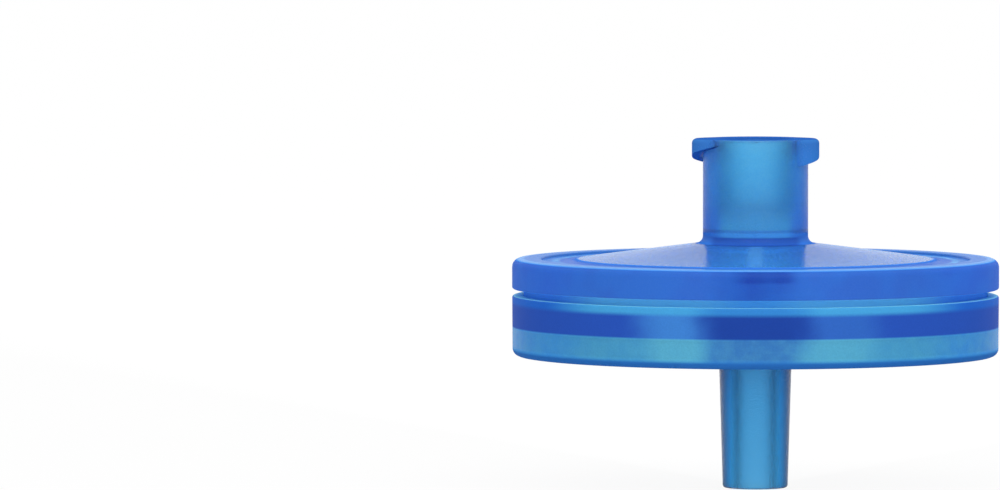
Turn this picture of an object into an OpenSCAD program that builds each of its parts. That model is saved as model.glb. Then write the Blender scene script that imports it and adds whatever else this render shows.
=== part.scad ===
// Syringe filter: two welded mouldings with a round membrane clamped between them.
// The axis is vertical. The outlet tip's end face is at z = 0 and the inlet is up.

/* [Outlet fitting] */
// Diameter of the outlet cone at its tip
tip_d = 3.99; // [3.9:0.01:4]
// Length of the outlet cone below the skirt
tip_length = 8.14; // [7.5:0.01:12]
// Diameter of the outlet passage
drain_d = 2.1; // [1.2:0.1:2.4]

/* [Outlet housing] */
// Diameter of the dish at its top edge
dish_d = 29.88; // [29.5:0.02:29.9]
// Height of the dish from the skirt's foot to the lip
dish_h = 3.69; // [3.5:0.01:4.5]
// Thickness of the skirt
skirt_wall = 1.65; // [1.2:0.05:2]
// Depth of the recess inside the skirt
recess_depth = 1.76; // [1:0.01:1.8]
// Spacing of the support rings under the membrane
ring_pitch = 0.8; // [0.6:0.1:1.6]
// Width of the four diagonal drain channels
channel_w = 0.6; // [0.4:0.1:1]

/* [Membrane] */
// Diameter of the membrane
membrane_d = 24; // [23.8:0.1:24.4]
// Thickness of the membrane
membrane_t = 0.2; // [0.1:0.05:0.25]

/* [Inlet housing] */
// Diameter of the flange
flange_d = 29.9; // [29.6:0.1:30.4]
// Height of the flange
flange_h = 1.84; // [1.7:0.02:2.2]
// Open gap between the lip and the flange
gap_h = 0.43; // [0.2:0.01:0.6]
// Depth of the round groove in the flange's face
groove_depth = 0.15; // [0.15:0.05:0.4]
// Rise of the cone from its foot to the tube
cone_rise = 1.02; // [0.6:0.02:1.4]
// Thickness of the cone's wall
cone_wall = 1.45; // [1.2:0.05:1.5]
// Width of the four ribs under the cone
rib_w = 0.95; // [0.6:0.05:1.2]

/* [Inlet fitting] */
// Outer diameter of the inlet tube
tube_d = 6.46; // [6.2:0.02:6.6]
// Length of the inlet tube above the cone
tube_length = 6.38; // [6.2:0.02:8]
// Diameter of the tapered bore at its mouth
mouth_d = 4.28; // [4.27:0.01:4.31]
// Diameter over the two locking lugs
lug_span = 7.82; // [7.7:0.02:7.84]
// Height of a lug at its middle
lug_h = 1.08; // [0.9:0.02:1.4]
// Width of each arm of the cross at the bore's foot
cross_w = 1; // [0.6:0.1:1.2]

/* [Hidden] */
$fn = 128;
eps = 0.01;
arc_steps = 6;

// A luer taper narrows by 6 % on the diameter.
taper_r = 0.06 / 2;

// Levels, from the tip up
plate_h = 1.1;
ring_h = 0.4;
skirt_z = tip_length;
recess_z = skirt_z + recess_depth;
plate_z = recess_z + plate_h;
seat_z = plate_z + ring_h;
clamp_z = seat_z + membrane_t;
lip_z = skirt_z + dish_h;
flange_z = lip_z + gap_h;
flange_top = flange_z + flange_h;
cone_foot_z = flange_top - 0.02;
cone_top_z = cone_foot_z + cone_rise;
bore_floor_z = cone_top_z - 1.2;
floor_t = 0.8;
floor_under_z = bore_floor_z - floor_t;
rim_z = cone_top_z + tube_length;

// Outlet housing
tip_r = tip_d / 2;
tip_edge = 0.2;
drain_r = drain_d / 2;
drain_mouth_r = 1.8;
root_fillet = 0.4;
dish_r = dish_d / 2;
skirt_draft = 0.02;
skirt_edge = 0.45;
skirt_edge_inner = 0.3;
skirt_r = dish_r - skirt_draft;
recess_r = skirt_r - skirt_wall;
lip_wall = 0.69;
lip_edge = 0.12;
lip_inner_r = dish_r - lip_wall;
ring_top = 0.3;
ring_foot = 0.46;
ring_last_r = 10.1;
ring_count = 1 + floor((ring_last_r - drain_mouth_r - ring_foot) / ring_pitch);
seat_inner_r = 10.9;
seat_outer_r = 12.45;

// Inlet housing
flange_r = flange_d / 2;
flange_edge = 0.5;
flange_edge_lower = 0.1;
face_edge = 0.12;
tongue_r = lip_inner_r - 0.1;
tongue_inner_r = 12.5;
clamp_outer_r = 11.9;
clamp_inner_r = 11.1;
groove_outer_r = 13.15;
groove_inner_r = 11.35;
cone_foot_r = 11;
rib_start_r = 2;
rib_end_r = 10.7;
rib_clearance = 0.15;
hub_r = 2.9;
rib_step_r = 2.5;
window_half = 1.6;
tube_r = tube_d / 2;
tube_fillet = 0.55;
tube_edge = 0.15;
mouth_r = mouth_d / 2;
mouth_chamfer = 0.13;
bore_foot_r = mouth_r - taper_r * (rim_z - bore_floor_z);
lug_r = lug_span / 2;
lug_half_angle = 29;
lug_edge = 0.25;
lug_lead = 5;
lug_mid_r = (tube_r + lug_r) / 2;
lug_slope = atan(lug_lead / (2 * PI * lug_mid_r));

// Points of a rounded corner around a centre, from one angle to another
function arc(x, y, r, from, to) =
    [for (i = [0:arc_steps]) let (a = from + (to - from) * i / arc_steps) [x + r * cos(a), y + r * sin(a)]];

// Radius of the outlet cone at a height
function outlet_r(z) = tip_r + taper_r * z;

// Height of the cone's upper face at a radius
function cone_z(r) = cone_top_z - cone_rise * (r - tube_r) / (cone_foot_r - tube_r);

// Half section of the outlet housing without its rings: tip, skirt, lip, seat, plate and passage
module outlet_section() {
    polygon(concat(
        [[drain_r, 0]],
        arc(tip_r - tip_edge, tip_edge, tip_edge, -90, 0),
        arc(outlet_r(recess_z) + root_fillet, recess_z - root_fillet, root_fillet, 180, 90),
        arc(recess_r - root_fillet, recess_z - root_fillet, root_fillet, 90, 0),
        arc(recess_r + skirt_edge_inner, skirt_z + skirt_edge_inner, skirt_edge_inner, 180, 270),
        arc(skirt_r - skirt_edge, skirt_z + skirt_edge, skirt_edge, -90, 0),
        arc(dish_r - lip_edge, lip_z - lip_edge, lip_edge, 0, 90),
        [
            [lip_inner_r, lip_z],
            [lip_inner_r, plate_z],
            [seat_outer_r, plate_z],
            [seat_outer_r, seat_z],
            [seat_inner_r, seat_z],
            [seat_inner_r, plate_z],
            [drain_mouth_r, plate_z],
            [drain_r, plate_z - (drain_mouth_r - drain_r)]
        ]
    ));
}

// Half section of one support ring at a radius
module ring_section(r) {
    polygon([
        [r - ring_foot / 2, plate_z - eps],
        [r + ring_foot / 2, plate_z - eps],
        [r + ring_top / 2, seat_z],
        [r - ring_top / 2, seat_z]
    ]);
}

// The rings hold the membrane off the plate, and the diagonal channels drain the space between them.
module support_rings() {
    difference() {
        rotate_extrude()
            for (i = [0:ring_count - 1])
                ring_section(ring_last_r - i * ring_pitch);
        for (a = [45, 135])
            rotate([0, 0, a])
                translate([-seat_inner_r, -channel_w / 2, plate_z])
                    cube([2 * seat_inner_r, channel_w, 2 * ring_h]);
    }
}

// The dish, the support plate, the skirt and the tapered outlet are one moulding.
module outlet_housing() {
    color([0.22, 0.46, 0.85])
        union() {
            rotate_extrude()
                outlet_section();
            support_rings();
        }
}

// The membrane lies on the seat and the support rings, and its edge is clamped.
module membrane() {
    color([0.95, 0.95, 0.94])
        translate([0, 0, seat_z])
            cylinder(d = membrane_d, h = membrane_t);
}

// Half section of the inlet housing: hub, ceiling, clamp ring, tongue, flange, cone, tube and bore
module inlet_section() {
    polygon(concat(
        [
            [0, floor_under_z],
            [hub_r, floor_under_z],
            [hub_r, cone_z(hub_r) - cone_wall],
            [clamp_inner_r, cone_z(clamp_inner_r) - cone_wall],
            [clamp_inner_r, clamp_z],
            [clamp_outer_r, clamp_z],
            [clamp_outer_r, flange_z],
            [tongue_inner_r, flange_z],
            [tongue_inner_r, plate_z],
            [tongue_r, plate_z],
            [tongue_r, flange_z],
            [flange_r - flange_edge_lower, flange_z],
            [flange_r, flange_z + flange_edge_lower]
        ],
        arc(flange_r - flange_edge, flange_top - flange_edge, flange_edge, 0, 90),
        arc(groove_outer_r + face_edge, flange_top - face_edge, face_edge, 90, 180),
        [
            [groove_outer_r, flange_top - groove_depth],
            [groove_inner_r, flange_top - groove_depth],
            [cone_foot_r, cone_foot_z]
        ],
        arc(tube_r + tube_fillet, cone_z(tube_r + tube_fillet) + tube_fillet, tube_fillet, 264, 180),
        arc(tube_r - tube_edge, rim_z - tube_edge, tube_edge, 0, 90),
        [
            [mouth_r + mouth_chamfer, rim_z],
            [mouth_r, rim_z - mouth_chamfer],
            [bore_foot_r, bore_floor_z],
            [0, bore_floor_z]
        ]
    ));
}

// Four windows through the bore's floor, left between the arms of a diagonal cross
module floor_windows() {
    difference() {
        translate([-window_half, -window_half, floor_under_z - eps])
            cube([2 * window_half, 2 * window_half, floor_t + 2 * eps]);
        for (a = [45, 135])
            rotate([0, 0, a])
                translate([-hub_r, -cross_w / 2, floor_under_z - 2 * eps])
                    cube([2 * hub_r, cross_w, floor_t + 4 * eps]);
    }
}

// Half section that the ribs fill: from just above the membrane into the floor and the cone
module rib_section(rib_z) {
    polygon([
        [rib_start_r, rib_z],
        [rib_end_r, rib_z],
        [rib_end_r, cone_z(rib_end_r) - cone_wall / 2],
        [rib_step_r, cone_z(hub_r) - cone_wall / 2],
        [rib_step_r, bore_floor_z - floor_t / 2],
        [rib_start_r, bore_floor_z - floor_t / 2]
    ]);
}

// Four ribs hang under the cone and spread the flow over the membrane.
module ribs() {
    rib_z = clamp_z + rib_clearance;
    intersection() {
        rotate_extrude()
            rib_section(rib_z);
        for (a = [0, 90])
            rotate([0, 0, a])
                translate([-flange_r, -rib_w / 2, rib_z - 1])
                    cube([2 * flange_r, rib_w, cone_top_z]);
    }
}

// One locking lug: a sector of a ring whose underside climbs like a double-start thread
module lug() {
    lug_foot_z = rim_z - 2 * lug_h;
    lug_root_r = tube_r - tube_edge - eps;
    difference() {
        rotate([0, 0, -lug_half_angle])
            rotate_extrude(angle = 2 * lug_half_angle)
                polygon(concat(
                    [[lug_root_r, lug_foot_z], [lug_r, lug_foot_z]],
                    arc(lug_r - lug_edge, rim_z - lug_edge, lug_edge, 0, 90),
                    [[lug_root_r, rim_z]]
                ));
        translate([lug_mid_r, 0, rim_z - lug_h])
            rotate([lug_slope, 0, 0])
                translate([-lug_r, -lug_r, -2 * lug_r])
                    cube(2 * lug_r);
    }
}

// The flange, the cone with its ribs, and the inlet tube with its lugs are one moulding.
module inlet_housing() {
    color([0.24, 0.50, 0.90])
        difference() {
            union() {
                rotate_extrude()
                    inlet_section();
                ribs();
                for (a = [0, 180])
                    rotate([0, 0, a])
                        lug();
            }
            floor_windows();
        }
}

outlet_housing();
membrane();
inlet_housing();
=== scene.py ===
"""Looks of the syringe filter: two translucent blue housings welded round a white membrane."""

import math

import bmesh
import bpy
from mathutils import Matrix, Vector


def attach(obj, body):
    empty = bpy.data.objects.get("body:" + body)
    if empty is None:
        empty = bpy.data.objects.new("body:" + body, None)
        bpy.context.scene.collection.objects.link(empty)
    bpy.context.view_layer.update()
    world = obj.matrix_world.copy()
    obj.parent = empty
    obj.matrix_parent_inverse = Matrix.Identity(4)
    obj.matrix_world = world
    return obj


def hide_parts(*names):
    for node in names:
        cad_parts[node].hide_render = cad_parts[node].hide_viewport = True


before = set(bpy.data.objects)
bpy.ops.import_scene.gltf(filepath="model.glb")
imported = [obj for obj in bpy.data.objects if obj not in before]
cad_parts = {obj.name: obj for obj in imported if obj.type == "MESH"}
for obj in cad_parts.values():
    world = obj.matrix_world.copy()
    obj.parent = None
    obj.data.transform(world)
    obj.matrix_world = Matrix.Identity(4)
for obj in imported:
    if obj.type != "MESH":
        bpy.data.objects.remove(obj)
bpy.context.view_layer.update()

# ---------------------------------------------------------------- sizes, in millimetres
MM = 0.001
ROUND_STEPS = 192
AIR = 0.015  # the film of air where two pieces lie on each other

TAPER = 0.03
TIP_R, TIP_EDGE, DRAIN_R, DRAIN_MOUTH_R = 1.995, 0.2, 1.05, 1.8
SKIRT_Z, RECESS_Z, PLATE_Z, SEAT_Z, CLAMP_Z = 8.14, 9.9, 11.0, 11.4, 11.6
LIP_Z, FLANGE_Z, FLANGE_TOP = 11.83, 12.26, 14.1
RECESS_R, SKIRT_R, DISH_R, LIP_INNER_R = 13.27, 14.92, 14.94, 14.25
SEAT_INNER_R, SEAT_OUTER_R = 10.9, 12.45
RING_LAST_R, RING_PITCH, RING_COUNT = 10.1, 0.8, 10
RING_FOOT, RING_TOP, CHANNEL_W = 0.46, 0.3, 0.6

MEMBRANE_R = 12.0

FLANGE_R, TONGUE_R, TONGUE_INNER_R = 14.945, LIP_INNER_R - AIR, 12.5
CLAMP_OUTER_R, CLAMP_INNER_R = 11.9, 11.1
GROOVE_OUTER_R, GROOVE_INNER_R, GROOVE_DEPTH = 13.15, 11.35, 0.15
CONE_FOOT_R, CONE_FOOT_Z, CONE_TOP_Z, CONE_WALL = 11.0, 14.08, 15.1, 1.45
HUB_R, FLOOR_Z, FLOOR_UNDER_Z, WINDOW_HALF, CROSS_W = 2.9, 13.9, 13.1, 1.6, 1.0
RIB_W, RIB_START_R, RIB_END_R, RIB_Z = 0.95, 2.0, 10.7, 11.75
TUBE_R, RIM_Z, MOUTH_R, BORE_FOOT_R = 3.23, 21.48, 2.14, 1.9126
PARTING_W, PARTING_H = 0.07, 0.02
LUG_R, LUG_LOW_R, LUG_ROOT_R, LUG_H, LUG_LEAD = 3.91, 3.215, 3.08, 1.08, 5.0
# degrees from a lug's middle: it has its full height up to the first, and none from the second
LUG_FULL, LUG_END = 10.0, 50.0


def outlet_r(z):
    return TIP_R + TAPER * z


def cone_z(r):
    return CONE_TOP_Z - (CONE_TOP_Z - CONE_FOOT_Z) * (r - TUBE_R) / (CONE_FOOT_R - TUBE_R)


# ---------------------------------------------------------------- mesh helpers
def outline(corners, steps=6):
    """A half section as one face. Each corner is radius, height and, where it is rounded, its rounding."""
    bm = bmesh.new()
    verts = [bm.verts.new((c[0] * MM, 0, c[1] * MM)) for c in corners]
    bm.faces.new(verts)
    for i, corner in enumerate(corners):
        if len(corner) < 3:
            continue
        here = Vector(corner[:2])
        before, after = Vector(corners[i - 1][:2]), Vector(corners[(i + 1) % len(corners)][:2])
        angle = (before - here).angle(after - here)
        bmesh.ops.bevel(
            bm, geom=[verts[i]], affect="VERTICES", offset_type="ABSOLUTE",
            offset=corner[2] * MM / math.tan(angle / 2), segments=steps, profile=0.5, material=-1,
        )
    return bm


def turned(bm, angle=360.0, steps=ROUND_STEPS):
    """Spins a half section round the axis into a closed body."""
    bmesh.ops.delete(bm, geom=bm.faces[:], context="FACES_ONLY")
    on_axis = [e for e in bm.edges if all(abs(v.co.x) < 1e-7 for v in e.verts)]
    bmesh.ops.delete(bm, geom=on_axis, context="EDGES")
    full = angle == 360.0
    bmesh.ops.spin(
        bm, geom=bm.verts[:] + bm.edges[:], cent=(0, 0, 0), axis=(0, 0, 1),
        angle=math.radians(angle), steps=steps, use_merge=full,
    )
    bmesh.ops.remove_doubles(bm, verts=bm.verts[:], dist=1e-7)
    if not full:
        bmesh.ops.holes_fill(bm, edges=[e for e in bm.edges if e.is_boundary])
    bmesh.ops.recalc_face_normals(bm, faces=bm.faces[:])
    return bm


def block(low, high, turn=0.0):
    """A box between two corners, turned about the axis."""
    bm = bmesh.new()
    bmesh.ops.create_cube(bm, size=1)
    low, high = Vector(low) * MM, Vector(high) * MM
    bmesh.ops.scale(bm, verts=bm.verts[:], vec=high - low)
    bmesh.ops.translate(bm, verts=bm.verts[:], vec=(low + high) / 2)
    bmesh.ops.rotate(bm, verts=bm.verts[:], matrix=Matrix.Rotation(math.radians(turn), 3, "Z"))
    return bm


def made(name, bm):
    """An object at the origin that holds this mesh."""
    mesh = bpy.data.meshes.new(name)
    bm.to_mesh(mesh)
    bm.free()
    piece = bpy.data.objects.new(name, mesh)
    bpy.context.scene.collection.objects.link(piece)
    return piece


def joined(piece, tool, how):
    """Unites, cuts or intersects a piece with a tool and applies the result."""
    step = piece.modifiers.new(how, "BOOLEAN")
    step.operation, step.solver, step.object = how, "MANIFOLD", tool
    done = bpy.data.meshes.new_from_object(piece.evaluated_get(bpy.context.evaluated_depsgraph_get()))
    piece.modifiers.clear()
    old, piece.data = piece.data, done
    done.name = piece.name
    bpy.data.meshes.remove(old)
    bpy.data.objects.remove(tool)


def finished(piece, material, node, sharp=28):
    """Smooths a piece up to its real edges, dresses it and puts it in place of its CAD node."""
    mesh = piece.data
    bm = bmesh.new()
    bm.from_mesh(mesh)
    bmesh.ops.remove_doubles(bm, verts=bm.verts[:], dist=2e-7)
    bmesh.ops.dissolve_degenerate(bm, edges=bm.edges[:], dist=1e-7)
    bmesh.ops.recalc_face_normals(bm, faces=bm.faces[:])
    bm.to_mesh(mesh)
    bm.free()
    mesh.polygons.foreach_set("use_smooth", [True] * len(mesh.polygons))
    mesh.set_sharp_from_angle(angle=math.radians(sharp))
    mesh.materials.clear()
    mesh.materials.append(material)
    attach(piece, "root")
    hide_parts(node)


# ---------------------------------------------------------------- shader maths
def fill(tree, node, values):
    """Sets or links the sockets of a node."""
    for name, value in values.items():
        if isinstance(value, Signal):
            tree.links.new(value.socket, node.inputs[name])
        else:
            node.inputs[name].default_value = value


class Signal:
    """A shader socket that takes part in plain arithmetic."""

    def __init__(self, tree, socket=None):
        self.tree, self.socket = tree, socket

    def node(self, kind, settings=None, values=None, output=0):
        """Adds a node: its settings first, then the values or links of its sockets."""
        new = self.tree.nodes.new("ShaderNode" + kind)
        for name, setting in (settings or {}).items():
            setattr(new, name, setting)
        fill(self.tree, new, values or {})
        return Signal(self.tree, new.outputs[output])

    def others(self):
        """All outputs of the node that this signal comes from."""
        return [Signal(self.tree, socket) for socket in self.socket.node.outputs]

    def maths(self, operation, a, b=0.0):
        return self.node("Math", {"operation": operation}, {0: a, 1: b})

    def __add__(self, other):
        return self.maths("ADD", self, other)

    def __radd__(self, other):
        return self.maths("ADD", other, self)

    def __sub__(self, other):
        return self.maths("SUBTRACT", self, other)

    def __rsub__(self, other):
        return self.maths("SUBTRACT", other, self)

    def __mul__(self, other):
        return self.maths("MULTIPLY", self, other)

    def __rmul__(self, other):
        return self.maths("MULTIPLY", other, self)

    def __abs__(self):
        return self.maths("ABSOLUTE", self)

    def ramp(self, low, high, to_low=0.0, to_high=1.0):
        """Goes smoothly from one value to another as this signal goes from low to high."""
        return self.node(
            "MapRange", {"interpolation_type": "SMOOTHSTEP"},
            {"Value": self, "From Min": low, "From Max": high, "To Min": to_low, "To Max": to_high},
        )

    def near(self, middle, inner, outer):
        """One within inner of a middle value, none beyond outer."""
        return abs(self - middle).ramp(outer, inner)


def larger(a, b):
    return a.maths("MAXIMUM", a, b)


def blend(share, first, second):
    """One colour going over into another."""
    colours = [c if isinstance(c, Signal) else (*c, 1) for c in (first, second)]
    return share.node("Mix", {"data_type": "RGBA"}, {0: share, 6: colours[0], 7: colours[1]}, output=2)


def new_material(name):
    """A material with one Principled shader, and the piece's own coordinates."""
    material = bpy.data.materials.new(name)
    material.use_nodes = True
    tree = material.node_tree
    return material, tree.nodes["Principled BSDF"], Signal(tree).node("TexCoord", output="Object")


class Spot:
    """A point on a piece: millimetres from the axis, height, degrees round from the front, and noises."""

    def __init__(self, place):
        apart = place.node("SeparateXYZ", None, {0: place}).others()
        self.across, self.deep, self.up = [axis * (1 / MM) for axis in apart]
        flat = place.node("CombineXYZ", None, {0: self.across, 1: self.deep})
        self.radius = place.node("VectorMath", {"operation": "LENGTH"}, {0: flat}, output="Value")
        self.bearing = place.maths("ARCTAN2", self.across, abs(self.deep)) * (180 / math.pi)
        self.fine = place.node("TexNoise", None, {"Vector": place, "Scale": 9000.0, "Detail": 2.0})
        self.coarse = place.node("TexNoise", None, {"Vector": place, "Scale": 1400.0, "Detail": 3.0})
        self.slow = place.node("TexNoise", None, {"Vector": place, "Scale": 420.0, "Detail": 2.0})


# ---------------------------------------------------------------- materials
def blue_plastic(name, tint, depth_tint, haze, body, rough, grained):
    """Clear blue plastic that darkens with its thickness, mixed with a milky haze whose colour carries
    painted light and shade.
    """
    material, clear, place = new_material(name)
    tree = place.tree
    spot = Spot(place)
    bump = place.node(
        "Bump", None, {"Height": spot.fine * grained(spot), "Strength": 0.6, "Distance": 0.00003},
    )
    fill(tree, clear, {
        "Transmission Weight": 1.0, "IOR": 1.49,
        "Base Color": (*tint, 1), "Roughness": rough(spot), "Normal": bump,
    })
    milk = place.node("BsdfPrincipled", None, {
        "Roughness": 0.5, "IOR": 1.49, "Specular IOR Level": 0.0, "Base Color": body(spot), "Normal": bump,
    })
    both = place.node("MixShader", None, {0: haze(spot), 1: Signal(tree, clear.outputs[0]), 2: milk})
    depth = place.node("VolumeAbsorption", None, {"Color": (*depth_tint, 1), "Density": 1500})
    fill(tree, tree.nodes["Material Output"], {"Surface": both, "Volume": depth})
    return material


def painted_sides_zone(spot):
    """The far left and right of the round walls, for an eye in front of or behind the filter, where light and
    shade are painted.
    """
    return abs(spot.bearing).ramp(38.0, 60.0)


def outlet_haze(spot):
    """How milky the outlet housing is: most in its outer wall, some at the drain and the weld."""
    wall = spot.radius.ramp(12.4, 13.4)
    band = spot.up.ramp(9.8, 10.0)
    foot = spot.up.ramp(8.8, 8.5)
    drain = spot.radius.ramp(2.8, 2.5) * spot.up.ramp(9.0, 9.6)
    speckle = spot.coarse.ramp(0.4, 0.7, 0.4, 1.0)
    weld = spot.radius.near(12.35, 0.15, 0.3) * spot.up.ramp(10.8, 11.0) * speckle
    grain = spot.fine * (wall * 0.12 + 0.03) + spot.radius.ramp(3.0, 2.5) * spot.fine.ramp(0.3, 0.7) * 0.03
    return wall * (band * 0.3 + foot * 0.35 + 0.5) + drain * 0.3 + weld * 0.4 + grain + 0.01


def outlet_body(spot):
    """The wall's colour in four heights: foot edge, skirt, the band before the plate, and the lip.

    Its tones change round the axis as painted light and shade for an eye in front, and are mirrored to the
    back: painted shade in the middle and on the band before the plate, painted light at about ±20 degrees,
    and painted light and shade at the far sides.
    """
    bearing = spot.bearing + spot.slow * 8.0 - 4.0
    # painted shade in the middle front, and painted light at about minus 19 and plus 20 degrees
    front_shade = bearing.near(0.0, 6.0, 18.0)
    glow = larger(bearing.near(-19.0, 3.0, 10.0), bearing.near(20.0, 4.0, 12.0) * 0.8)
    painted_sides = painted_sides_zone(spot)
    skirt = blend(glow, blend(front_shade, (0.075, 0.43, 0.78), (0.045, 0.26, 0.7)), (0.12, 0.56, 0.82))
    # painted light and shade on the skirt's far sides
    skirt = blend(painted_sides, skirt, (0.052, 0.385, 0.98))
    skirt = blend(spot.coarse.ramp(0.3, 0.7) * 0.2, skirt, (0.14, 0.62, 0.8))
    # painted light where the inside shows through at about ±20 degrees, over the band of painted shade before
    # the plate, darkest in the middle
    window = larger(bearing.near(-19.0, 1.0, 14.0), bearing.near(20.0, 4.0, 14.0) * 0.35)
    band = blend(front_shade, blend(window, (0.022, 0.091, 0.5), (0.05, 0.23, 0.67)), (0.013, 0.059, 0.36))
    lip = blend(painted_sides, blend(front_shade, (0.063, 0.38, 0.75), (0.036, 0.25, 0.67)), (0.015, 0.14, 0.65))
    # painted light on the lip's top outer edge
    lip = blend(spot.up.ramp(11.79, 11.83) * spot.radius.ramp(14.9, 14.84), lip, (0.3, 0.85, 1.0))
    foot = blend(spot.up.ramp(8.42, 8.75), (0.022, 0.15, 0.5), skirt)
    return blend(spot.up.ramp(11.2, 11.55), blend(spot.up.ramp(9.85, 10.0), foot, band), lip)


def outlet_rough(spot):
    bore = spot.radius.ramp(1.7, 1.4) * spot.up.ramp(9.5, 9.0)
    recess = spot.radius.ramp(13.5, 13.35) * spot.up.ramp(10.3, 10.1)
    drain = spot.radius.ramp(2.8, 2.6)
    return larger(bore, recess) * 0.1 + drain * -0.1 + 0.27


def outlet_grained(spot):
    return spot.radius.ramp(3.5, 2.5) * 1.2 + 0.3


def rib_zone(spot):
    """The ribs below the cone, painted lighter as if lit from the membrane, and a faint strip of painted
    light on the cone above each of them.
    """
    below = spot.radius * (cone_z(1) - cone_z(0)) - spot.up + (cone_z(0) - CONE_WALL)
    aside = spot.across.maths("MINIMUM", abs(spot.across), abs(spot.deep))
    along = spot.radius.ramp(10.95, 10.8) * spot.radius.ramp(3.7, 4.1) * spot.up.ramp(15.3, 15.1)
    low = below.ramp(0.05, 0.25)
    # painted light: a faint strip on the cone above each rib
    above = (1.0 - low) * aside.ramp(RIB_W / 2 + 0.35, RIB_W / 2 - 0.3) * 0.12
    return (low * aside.ramp(RIB_W / 2 + 0.06, RIB_W / 2) + above) * along


def brim_zone(spot):
    """The flange's flat top and the floor of the weld groove in it."""
    return spot.radius.ramp(10.8, 11.05) * (spot.up - spot.radius.ramp(13.1, 13.4) * 0.12).ramp(13.86, 13.92)


def shaded_flanks_zone(spot):
    """The tube's flanks, to the left and right of its middle, where shade is painted."""
    return abs(spot.across).ramp(1.8, 2.6)


def hub_zone(spot):
    """The bore's floor and the cross in it."""
    return spot.radius.ramp(3.2, 2.8) * spot.up.ramp(14.4, 13.9)


def lug_zone(spot):
    """The lugs, outside the tube's wall."""
    return spot.radius.ramp(3.25, 3.42) * spot.up.ramp(19.3, 19.6)


def rim_zone(spot):
    """The tube's end face and the chamfer inside it."""
    chamfer = spot.radius.ramp(2.6, 2.5) * spot.up.ramp(21.28, 21.34) * spot.up.ramp(21.46, 21.42)
    return spot.up.ramp(21.42, 21.46) + chamfer


def inlet_haze(spot):
    """How milky the inlet housing is: most in the flange, the neck and the hub, and least in the cone."""
    wall = spot.radius.ramp(13.2, 13.6) * spot.up.ramp(12.2, FLANGE_Z) * spot.up.ramp(14.08, 13.98)
    neck = spot.radius.ramp(12.4, 13.0) * spot.up.ramp(12.34, 12.28) * spot.radius.ramp(14.94, 14.86)
    foot = spot.radius.ramp(3.75, 3.6) * spot.up.ramp(14.8, 14.9) * spot.up.ramp(15.9, 15.5)
    speckle = spot.coarse.ramp(0.4, 0.7, 0.4, 1.0)
    weld = spot.radius.near(12.2, 0.2, 0.4) * spot.up.ramp(12.4, 12.2) * speckle
    disc = wall * 0.85 + brim_zone(spot) * 0.7 + neck * 0.95 + weld * 0.4 + rib_zone(spot) * 0.8
    solid = disc + hub_zone(spot) * 0.85 + foot * 0.85 + lug_zone(spot) * 0.7
    mouth = spot.up.ramp(21.1, 21.38) * 0.1 + rim_zone(spot) * (1.0 - solid) * 0.95
    cone = spot.radius.ramp(3.3, 3.6) * spot.radius.ramp(11.4, 11.0) * spot.up.ramp(13.9, 14.1)
    flank_shade = shaded_flanks_zone(spot)
    grain = spot.coarse.ramp(0.3, 0.7) * 0.06 + spot.fine.ramp(0.3, 0.7) * 0.05
    low = spot.up.near(15.9, 0.2, 1.8) * (1.0 - flank_shade * 0.6) * 0.5
    tube = spot.radius.near(3.2, 0.05, 0.1) * spot.up.ramp(15.5, 15.7) * (grain + 0.06 + flank_shade * 0.18 + low)
    return solid + mouth + spot.fine * (cone * 0.7 + 0.06) + tube


def flange_body(spot):
    """The flange's wall with painted shade in its middle and a painted shade patch, its flat top with the
    marks of the weld, and a painted highlight on its upper edge.
    """
    # painted shade in the wall's middle front, and painted light at its far sides
    middle = spot.bearing.near(0.0, 2.0, 14.0)
    wall = blend(middle, (0.036, 0.143, 0.6), (0.02, 0.088, 0.48))
    wall = blend(painted_sides_zone(spot), wall, (0.034, 0.146, 0.69))
    # a painted patch of shade below the top edge, in front
    shade = spot.bearing.near(2.0, 3.0, 9.0) * spot.up.near(13.7, 0.25, 0.5)
    wall = blend(shade, wall, (0.014, 0.045, 0.36))
    wall = blend(spot.slow.ramp(0.35, 0.65) * 0.2, wall, (0.03, 0.24, 0.8))
    marks = spot.radius.near(12.3, 0.1, 0.35) * spot.coarse.ramp(0.4, 0.7, 0.3, 1.0)
    brim = blend(spot.radius.ramp(11.9, 12.8), (0.032, 0.17, 0.72), (0.05, 0.24, 0.76))
    brim = blend(marks, brim, (0.14, 0.52, 1.0))
    # painted highlight along the upper edge
    edge = spot.radius.ramp(14.1, 14.35) * spot.up.ramp(14.0, 14.07)
    return blend(edge, blend(brim_zone(spot), wall, brim), (0.14, 0.42, 0.95))


def tube_body(spot):
    """The tube with painted shade on its flanks, its foot with a dark band of painted shade, its lugs and its
    end face.
    """
    flank_shade = shaded_flanks_zone(spot)
    # painted shade on the flanks, lighter in the middle
    tall = blend(flank_shade, (0.08, 0.42, 0.8), (0.06, 0.28, 0.96))
    tall = blend(spot.up.ramp(15.2, 15.8), (0.06, 0.29, 0.88), tall)
    lugs = blend(spot.up.ramp(20.3, 21.2), (0.043, 0.21, 0.63), (0.042, 0.19, 0.57))
    # painted shade: a dark band at the tube's foot, fading out towards the flanks
    band = abs(spot.across).ramp(2.95, 2.4) * spot.up.ramp(15.54, 15.44)
    low = blend(band, blend(flank_shade, (0.06, 0.3, 0.76), (0.042, 0.2, 0.7)), (0.026, 0.115, 0.51))
    foot = spot.radius.ramp(4.1, 3.8) * spot.up.ramp(16.0, 15.9)
    tube = blend(foot, blend(lug_zone(spot), tall, lugs), low)
    return blend(rim_zone(spot), tube, (0.028, 0.13, 0.5))


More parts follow.
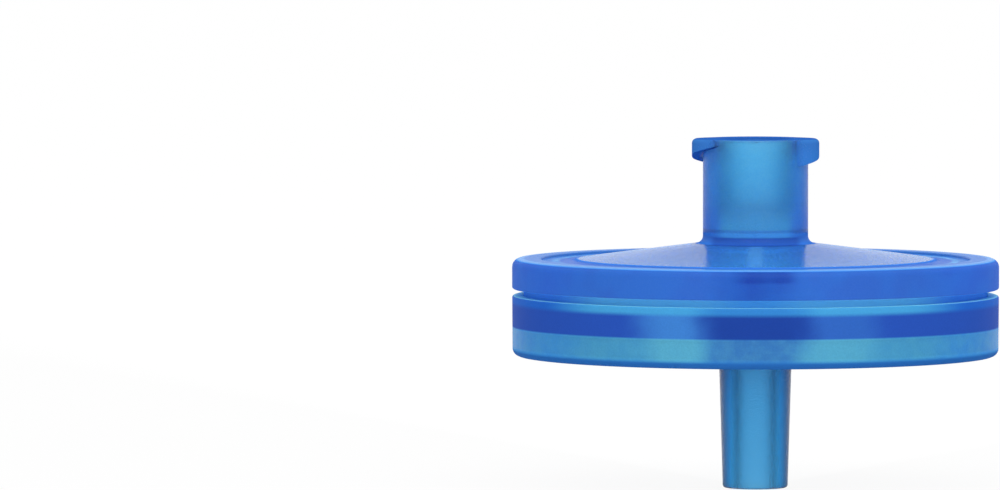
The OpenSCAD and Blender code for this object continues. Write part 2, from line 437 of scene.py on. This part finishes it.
def inlet_body(spot):
    """The colour of the tube and the flange, with painted light on the ribs, the neck and the hub on top.

    Its tones change round the axis as painted light and shade for an eye in front, and are mirrored to the
    back.
    """
    shell = blend(spot.radius.ramp(10.8, 11.2), tube_body(spot), flange_body(spot))
    # painted light: the ribs lighter, and a faint strip above each
    shell = blend(rib_zone(spot).ramp(0.0, 0.2), shell, (0.12, 0.46, 1.0))
    # painted light on the shaded neck, varying round the axis in the middle and at the far sides
    neck = spot.up.ramp(12.36, 12.28) * spot.radius.ramp(12.0, 13.0) * spot.radius.ramp(14.94, 14.86)
    middle = spot.bearing.near(0.0, 2.0, 14.0)
    ring = blend(middle, blend(painted_sides_zone(spot), (0.18, 0.6, 1.0), (0.08, 0.34, 1.0)), (0.12, 0.5, 1.0))
    # painted light on the bore's floor and cross
    return blend(hub_zone(spot), blend(neck, shell, ring), (0.18, 0.54, 1.0))


def inlet_rough(spot):
    bore = spot.radius.ramp(2.7, 2.3) * spot.up.ramp(15.5, 16.0)
    tube = spot.radius.ramp(4.2, 4.0) * spot.up.ramp(15.35, 15.65)
    rim = spot.radius.ramp(13.5, 14.0) * spot.up.ramp(14.06, 13.9)
    return bore * 0.18 + tube * 0.2 + rim * 0.23 + 0.08


def inlet_grained(spot):
    return spot.radius.ramp(3.5, 3.3) * 1.2 + 0.5


def membrane_sheet():
    """White microporous sheet, dented lightly by the rings it rests on, with painted shade over the rings,
    painted light along the channels and painted blue light under the bore.
    """
    material, shader, place = new_material("membrane sheet")
    spot = Spot(place)
    turns = (spot.radius - RING_LAST_R) * (2 * math.pi / RING_PITCH)
    ring = place.maths("COSINE", turns).ramp(0.2, 0.9)
    ring = ring * spot.radius.ramp(2.5, 7.0) * spot.radius.ramp(10.9, 10.6)
    channel = abs(abs(spot.across) - abs(spot.deep)).ramp(0.55, 0.35)
    # the rings press the sheet (the bump below), and their shade is painted on it
    ring_dent_and_shade = ring * (1.0 - channel)
    tone = blend(ring_dent_and_shade, (0.84, 0.93, 0.99), (0.68, 0.82, 0.96))
    # painted light along the channels
    tone = blend(channel * 0.5, tone, (0.95, 0.98, 1.0))
    fibre = place.node("TexNoise", None, {"Vector": place, "Scale": 25000.0, "Detail": 4.0})
    fill(place.tree, shader, {
        # painted blue light under the bore
        "Base Color": blend(spot.radius.ramp(2.9, 2.6), tone, (0.5, 0.74, 1.0)),
        "Roughness": spot.fine.ramp(0.3, 0.7, 0.7, 0.9),
        "Normal": place.node("Bump", None, {"Height": fibre - ring_dent_and_shade, "Strength": 0.6, "Distance": 0.00002}),
    })
    return material


OUTLET_BLUE = blue_plastic(
    "outlet plastic", (0.9, 0.925, 0.985), (0.17, 0.77, 0.945),
    outlet_haze, outlet_body, outlet_rough, outlet_grained,
)
INLET_BLUE = blue_plastic(
    "inlet plastic", (0.92, 0.945, 1.0), (0.27, 0.87, 1.0),
    inlet_haze, inlet_body, inlet_rough, inlet_grained,
)
MEMBRANE_WHITE = membrane_sheet()

# ---------------------------------------------------------------- outlet housing
section = [
    (DRAIN_R, 0, 0.06),
    (TIP_R, 0, TIP_EDGE),
    (outlet_r(RECESS_Z), RECESS_Z, 0.4),
    (RECESS_R, RECESS_Z, 0.4),
    (RECESS_R, SKIRT_Z, 0.3),
    (SKIRT_R, SKIRT_Z, 0.45),
    (DISH_R, LIP_Z, 0.12),
    (LIP_INNER_R, LIP_Z, 0.02),
    (LIP_INNER_R, PLATE_Z, 0.08),
    (SEAT_OUTER_R, PLATE_Z, 0.08),
    (SEAT_OUTER_R, SEAT_Z - AIR, 0.06),
    (SEAT_INNER_R, SEAT_Z - AIR, 0.06),
    (SEAT_INNER_R, PLATE_Z, 0.08),
]
for i in range(RING_COUNT):
    middle = RING_LAST_R - i * RING_PITCH
    section += [
        (middle + RING_FOOT / 2, PLATE_Z),
        (middle + RING_TOP / 2, SEAT_Z - AIR, 0.04),
        (middle - RING_TOP / 2, SEAT_Z - AIR, 0.04),
        (middle - RING_FOOT / 2, PLATE_Z),
    ]
section += [(DRAIN_MOUTH_R, PLATE_Z, 0.1), (DRAIN_R, PLATE_Z - DRAIN_MOUTH_R + DRAIN_R, 0.1)]
outlet = made("outlet_housing_body", turned(outline(section)))
for turn in (45, 135):
    channel = block(
        (-SEAT_INNER_R + 0.05, -CHANNEL_W / 2, PLATE_Z + 0.012),
        (SEAT_INNER_R - 0.05, CHANNEL_W / 2, SEAT_Z + 0.1), turn,
    )
    joined(outlet, made("channel_cutter", channel), "DIFFERENCE")
finished(outlet, OUTLET_BLUE, "outlet_housing")

# ---------------------------------------------------------------- membrane
section = [
    (0, SEAT_Z + AIR),
    (MEMBRANE_R, SEAT_Z + AIR, 0.04),
    (MEMBRANE_R, CLAMP_Z - AIR, 0.04),
    (0, CLAMP_Z - AIR),
]
membrane = made("membrane_disc", turned(outline(section)))
finished(membrane, MEMBRANE_WHITE, "membrane")

# ---------------------------------------------------------------- inlet housing
section = [
    (0, FLOOR_UNDER_Z),
    (HUB_R, FLOOR_UNDER_Z, 0.15),
    (HUB_R, cone_z(HUB_R) - CONE_WALL, 0.15),
    (CLAMP_INNER_R, cone_z(CLAMP_INNER_R) - CONE_WALL, 0.2),
    (CLAMP_INNER_R, CLAMP_Z + AIR, 0.08),
    (CLAMP_OUTER_R, CLAMP_Z + AIR, 0.08),
    (CLAMP_OUTER_R, FLANGE_Z, 0.12),
    (TONGUE_INNER_R, FLANGE_Z, 0.12),
    (TONGUE_INNER_R, PLATE_Z + AIR, 0.1),
    (TONGUE_R, PLATE_Z + AIR, 0.06),
    (TONGUE_R, FLANGE_Z, 0.05),
    (FLANGE_R, FLANGE_Z, 0.1),
    (FLANGE_R, FLANGE_TOP, 0.5),
    (GROOVE_OUTER_R, FLANGE_TOP, 0.12),
    (GROOVE_OUTER_R, FLANGE_TOP - GROOVE_DEPTH, 0.02),
    (GROOVE_INNER_R, FLANGE_TOP - GROOVE_DEPTH, 0.06),
    (CONE_FOOT_R, CONE_FOOT_Z, 0.15),
    (TUBE_R, CONE_TOP_Z, 0.45),
    (TUBE_R, RIM_Z, 0.15),
    (MOUTH_R, RIM_Z, 0.13),
    (BORE_FOOT_R, FLOOR_Z, 0.12),
    (0, FLOOR_Z),
]
inlet = made("inlet_housing_body", turned(outline(section)))

for turn in (0, 90, 180, 270):
    rib = block((RIB_START_R, -RIB_W / 2, RIB_Z), (RIB_END_R, RIB_W / 2, FLOOR_Z - 0.12), turn)
    bmesh.ops.bevel(
        rib, geom=[e for e in rib.edges if all(v.co.z < RIB_Z * MM + 1e-6 for v in e.verts)],
        affect="EDGES", offset=0.08 * MM, segments=3, profile=0.5, material=-1,
    )
    joined(inlet, made("rib", rib), "UNION")

windows = made("windows", block(
    (-WINDOW_HALF, -WINDOW_HALF, FLOOR_UNDER_Z - 0.2), (WINDOW_HALF, WINDOW_HALF, FLOOR_Z + 0.05),
))
for turn in (45, 135):
    arm = block((-3, -CROSS_W / 2, FLOOR_UNDER_Z - 1), (3, CROSS_W / 2, FLOOR_Z + 1), turn)
    joined(windows, made("cross_arm", arm), "DIFFERENCE")
joined(inlet, windows, "DIFFERENCE")


def locking_lug(turn):
    """A lug that rises smoothly out of the tube's wall, with an underside that climbs like a thread."""
    bm = turned(outline([
        (LUG_ROOT_R, RIM_Z - 2 * LUG_H),
        (LUG_R, RIM_Z - 2 * LUG_H),
        (LUG_R, RIM_Z - 0.01, 0.28),
        (LUG_ROOT_R, RIM_Z - 0.01),
    ]), angle=2 * LUG_END, steps=72)
    bmesh.ops.rotate(bm, verts=bm.verts[:], matrix=Matrix.Rotation(math.radians(-LUG_END), 3, "Z"))
    slope = math.atan(LUG_LEAD / (2 * math.pi * TUBE_R))
    bmesh.ops.bisect_plane(
        bm, geom=bm.verts[:] + bm.edges[:] + bm.faces[:],
        plane_co=(TUBE_R * MM, 0, (RIM_Z - LUG_H) * MM),
        plane_no=(0, -math.sin(slope), math.cos(slope)), clear_inner=True,
    )
    rim = [e for e in bm.edges if e.is_boundary]
    bmesh.ops.holes_fill(bm, edges=rim)
    bmesh.ops.recalc_face_normals(bm, faces=bm.faces[:])
    for vert in bm.verts:
        radius = math.hypot(vert.co.x, vert.co.y)
        away = abs(math.degrees(math.atan2(vert.co.y, vert.co.x)))
        fade = min(max((LUG_END - away) / (LUG_END - LUG_FULL), 0), 1)
        outer = LUG_LOW_R + (LUG_R - LUG_LOW_R) * fade * fade * (3 - 2 * fade)
        share = (radius / MM - LUG_ROOT_R) / (LUG_R - LUG_ROOT_R)
        vert.co.xy *= (LUG_ROOT_R + (outer - LUG_ROOT_R) * share) * MM / radius
    bmesh.ops.rotate(bm, verts=bm.verts[:], matrix=Matrix.Rotation(math.radians(turn), 3, "Z"))
    return made("lug", bm)


for turn in (0, 180):
    joined(inlet, locking_lug(turn), "UNION")

for turn in (90, 270):
    line = block(
        (TUBE_R - 0.3, -PARTING_W / 2, cone_z(TUBE_R) + 0.3),
        (TUBE_R + PARTING_H, PARTING_W / 2, RIM_Z - 0.16), turn,
    )
    joined(inlet, made("parting_line", line), "UNION")

finished(inlet, INLET_BLUE, "inlet_housing")

# ---------------------------------------------------------------- floor, light and camera, in metres
KEY_PLACE, KEY_AIM, KEY_SIZE, KEY_WATTS = (0.06, -0.38, 0.4), (0, 0, 0.012), 0.5, 1.4
CAMERA_PLACE, CAMERA_AIM, CAMERA_LENS = (0, -0.6, 0.044), (-0.015695, 0, 0.0149), 352
BOUNCES = 32


def surround(way):
    """How bright the white studio is in a direction: brightest straight behind, softer at the sides."""
    straight = way.node("VectorMath", {"operation": "NORMALIZE"}, {0: way})
    apart = way.node("SeparateXYZ", None, {0: straight}).others()
    sides = abs(apart[0]).ramp(0.55, 0.95) * abs(apart[2]).ramp(0.6, 0.2)
    return apart[1].ramp(0.72, 0.96) * 0.28 + apart[2].ramp(0.2, 0.9) * 0.15 + sides * -0.35 + 0.74


def pale_floor():
    """A white sweep that keeps a soft shadow."""
    material, shader, place = new_material("pale floor")
    fill(place.tree, shader, {"Base Color": (0.85, 0.85, 0.85, 1), "Roughness": 0.9})
    seen, mirrored, through = [
        place.node("LightPath", output=f"Is {kind} Ray") for kind in ("Camera", "Glossy", "Transmission")
    ]
    share = place.maths("MINIMUM", seen + mirrored + through, 1.0) * 0.93
    glow = place.node("Emission", None, {"Color": (1, 1, 1, 1), "Strength": larger(seen, surround(place))})
    both = place.node("MixShader", None, {0: share, 1: Signal(place.tree, shader.outputs[0]), 2: glow})
    fill(place.tree, place.tree.nodes["Material Output"], {"Surface": both})
    return material


bm = bmesh.new()
bmesh.ops.create_grid(bm, x_segments=2, y_segments=2, size=6)
floor = made("floor", bm)
floor.data.materials.append(pale_floor())

world = bpy.data.worlds.new("studio")
world.use_nodes = True
bpy.context.scene.world = world
sky = world.node_tree
way = Signal(sky).node("TexCoord", output="Generated")
seen = way.node("LightPath", output="Is Camera Ray")
fill(sky, sky.nodes["Background"], {"Color": (1, 1, 1, 1), "Strength": larger(seen, surround(way))})

key_data = bpy.data.lights.new("key", "AREA")
key_data.size = KEY_SIZE
key_data.energy = KEY_WATTS
key = bpy.data.objects.new("key", key_data)
bpy.context.scene.collection.objects.link(key)
key.location = KEY_PLACE
key.rotation_euler = (Vector(KEY_AIM) - key.location).to_track_quat("-Z", "Y").to_euler()

camera_data = bpy.data.cameras.new("camera")
camera_data.sensor_width = 36
camera_data.lens = CAMERA_LENS
camera_data.clip_end = 20
camera = bpy.data.objects.new("camera", camera_data)
bpy.context.scene.collection.objects.link(camera)
camera.location = CAMERA_PLACE
aim = Vector(CAMERA_AIM) - camera.location
camera.rotation_euler = aim.to_track_quat("-Z", "Y").to_euler()
bpy.context.scene.camera = camera
bpy.context.scene.view_settings.view_transform = "Standard"

# light crosses many walls of clear plastic before it comes out
paths = bpy.context.scene.cycles
paths.max_bounces = paths.glossy_bounces = paths.transmission_bounces = BOUNCES
